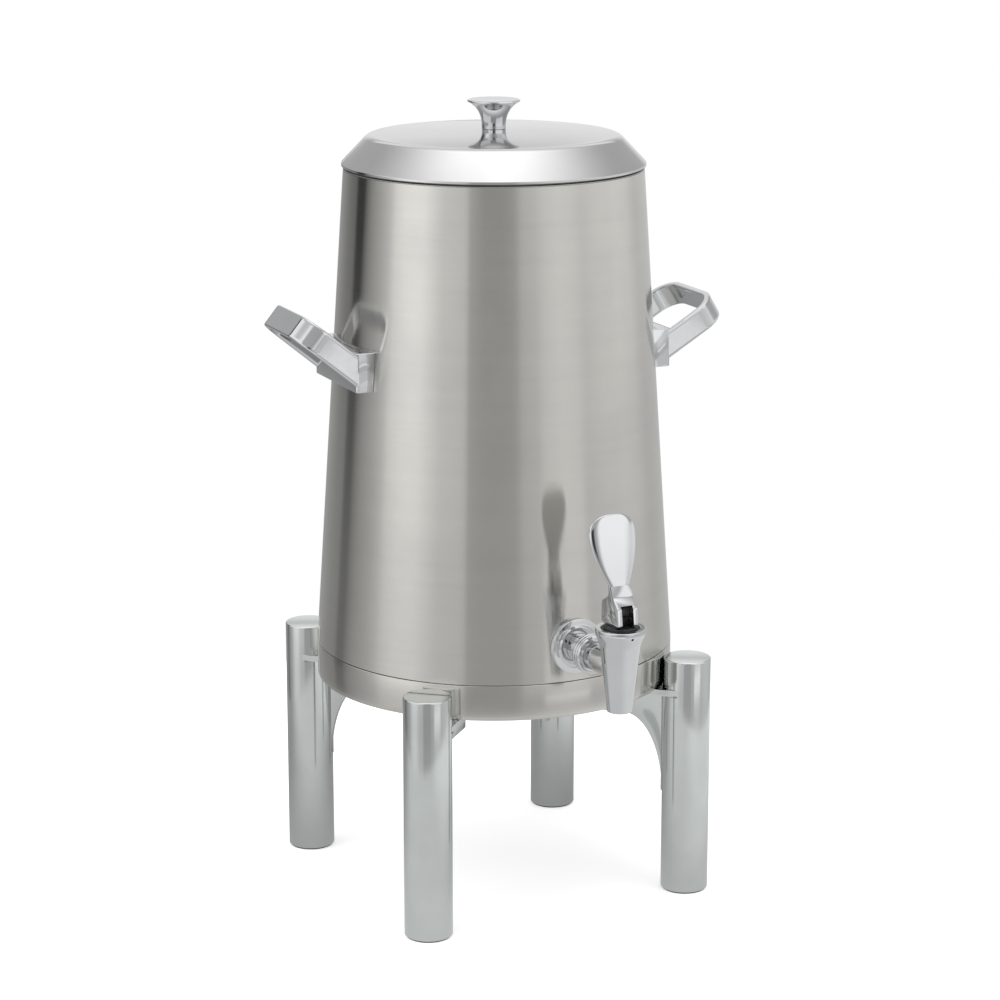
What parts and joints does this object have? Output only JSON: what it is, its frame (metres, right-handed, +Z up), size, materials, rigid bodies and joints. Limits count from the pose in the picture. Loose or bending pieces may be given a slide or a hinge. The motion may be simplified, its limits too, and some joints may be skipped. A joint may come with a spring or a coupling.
{
  "type": "coffee urn",
  "caption": "Tall tapered steel coffee urn on tube legs, with a lift-off domed lid, strap handles and a front lever tap.",
  "frame": {"origin": "middle of the footprint of the whole urn on the table, tap and handles included", "axes": "+Z up, -Y towards the tap, +X to the right for someone facing the tap"},
  "size_m": [0.3746, 0.3756, 0.637],
  "materials": {
    "brushed_shell": "vertical brushed satin",
    "brushed_ring": "brushed satin",
    "liner_steel": "drawn sheet, dull",
    "polished_steel": "polished stainless",
    "polished_lid": "polished stainless",
    "polished_chrome": "mirror bright plating",
    "fastener_steel": "plain",
    "spring_steel": "drawn wire",
    "black_plastic": "satin moulded",
    "black_rubber": "matte moulded",
    "white_silicone": "matte moulded",
    "grey_silicone": "matte moulded"
  },
  "bodies": {
    "urn": {"outer_shell": "brushed_shell", "inner_liner": "liner_steel", "base_ring": "brushed_ring", "base_plate": "liner_steel", "base_cup": "polished_steel", "base_cup_screw": "fastener_steel", "leg_front_left": "polished_steel", "leg_front_right": "polished_steel", "leg_rear_left": "polished_steel", "leg_rear_right": "polished_steel", "glide_front_left": "black_rubber", "glide_front_right": "black_rubber", "glide_rear_left": "black_rubber", "glide_rear_right": "black_rubber", "bracket_front_left": "polished_steel", "bracket_front_right": "polished_steel", "bracket_rear_left": "polished_steel", "bracket_rear_right": "polished_steel", "bracket_screws": "fastener_steel", "bracket_nuts": "fastener_steel", "handle_left": "polished_chrome", "handle_right": "polished_chrome", "handle_screws_left": "fastener_steel", "handle_screws_right": "fastener_steel", "tap_flange": "polished_chrome", "tap_shank": "polished_chrome", "shank_washer": "white_silicone", "shank_nut": "fastener_steel", "tap_coupling": "polished_chrome", "tap_body": "polished_chrome", "tap_bonnet": "black_plastic", "valve_spring": "spring_steel"},
    "lid": {"lid_cover": "polished_lid", "lid_pan": "liner_steel", "lid_seal": "grey_silicone", "lid_knob": "polished_chrome", "knob_screw": "fastener_steel"},
    "valve": {"valve_stem": "black_plastic", "seat_cup": "white_silicone"},
    "lever": {"lever": "polished_chrome", "lever_pin": "fastener_steel"}
  },
  "joints": [
    {"name": "lid_lift", "type": "slide", "parent": "urn", "child": "lid", "axis": [0, 0, 1], "range_m": [0, 0.12]},
    {"name": "valve_lift", "type": "slide", "parent": "urn", "child": "valve", "axis": [0, 0, 1], "range_m": [0, 0.0031], "deforming": ["valve_spring"]},
    {"name": "lever_tilt", "type": "hinge", "parent": "valve", "child": "lever", "pos_m": [0, -0.16853, 0.2736], "axis": [1, 0, 0], "range_deg": [0, 35], "stiffness_Nm_per_rad": 0.12, "springref_deg": -28.65}
  ],
  "couplings": [
    {"joint": "valve_lift", "follows": "lever_tilt", "m_per_rad": 0.005}
  ]
}
